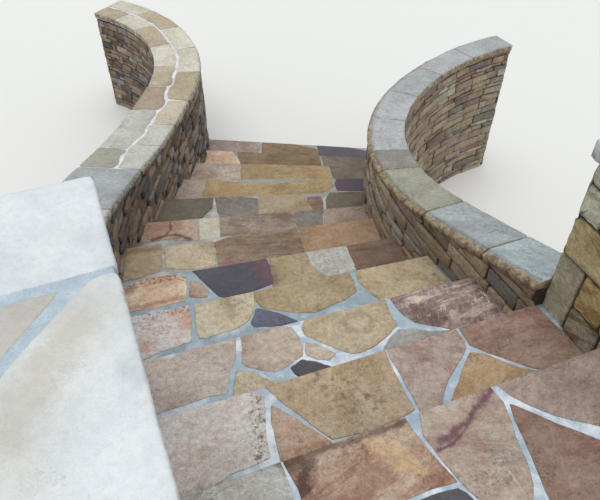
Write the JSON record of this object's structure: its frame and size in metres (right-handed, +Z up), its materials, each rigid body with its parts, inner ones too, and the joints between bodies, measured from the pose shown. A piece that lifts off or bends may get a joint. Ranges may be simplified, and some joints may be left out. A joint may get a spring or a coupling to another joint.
{
  "type": "flagstone garden steps",
  "caption": "Winding outdoor steps faced in irregular flagstone, with curved stone planter walls and flat-capped cheek walls on both sides.",
  "frame": {"origin": "ground level under the middle of the lowest tread", "axes": "+Z up, +Y uphill along the flight, +X to the left of a person walking down"},
  "size_m": [3.9044, 6.7499, 2.37],
  "materials": {
    "flagstone": "riven sandstone flags in pale mortar",
    "riser_stone": "split stone facing",
    "ledge_stone": "stacked ledge stone",
    "left_coping_stone": "riven flags in white mortar",
    "right_coping_stone": "sawn top with a rough split edge",
    "golden_sandstone": "stacked sandstone blocks",
    "limestone": "pale riven limestone"
  },
  "bodies": {
    "root": {"landing_slab": "flagstone", "tread_01": "flagstone", "tread_02": "flagstone", "tread_03": "flagstone", "tread_04": "flagstone", "tread_05": "flagstone", "tread_06": "flagstone", "tread_07": "flagstone", "tread_08": "flagstone", "tread_09": "flagstone", "tread_10": "flagstone", "tread_11": "flagstone", "landing_block": "riser_stone", "step_block_01": "riser_stone", "step_block_02": "riser_stone", "step_block_03": "riser_stone", "step_block_04": "riser_stone", "step_block_05": "riser_stone", "step_block_06": "riser_stone", "step_block_07": "riser_stone", "step_block_08": "riser_stone", "step_block_09": "riser_stone", "step_block_10": "riser_stone", "step_block_11": "riser_stone", "left_wall_1": "ledge_stone", "left_coping_1": "left_coping_stone", "right_wall_1": "ledge_stone", "right_coping_1": "right_coping_stone", "left_wall_2": "ledge_stone", "left_coping_2": "left_coping_stone", "right_wall_2": "ledge_stone", "right_coping_2": "right_coping_stone", "left_wall_3": "ledge_stone", "left_coping_3": "left_coping_stone", "right_wall_3": "ledge_stone", "right_coping_3": "right_coping_stone", "left_cheek_wall": "golden_sandstone", "right_cheek_wall": "golden_sandstone", "left_cap_1": "limestone", "left_cap_2": "limestone", "left_cap_3": "limestone", "right_cap_1": "limestone", "right_cap_2": "limestone"}
  },
  "joints": []
}
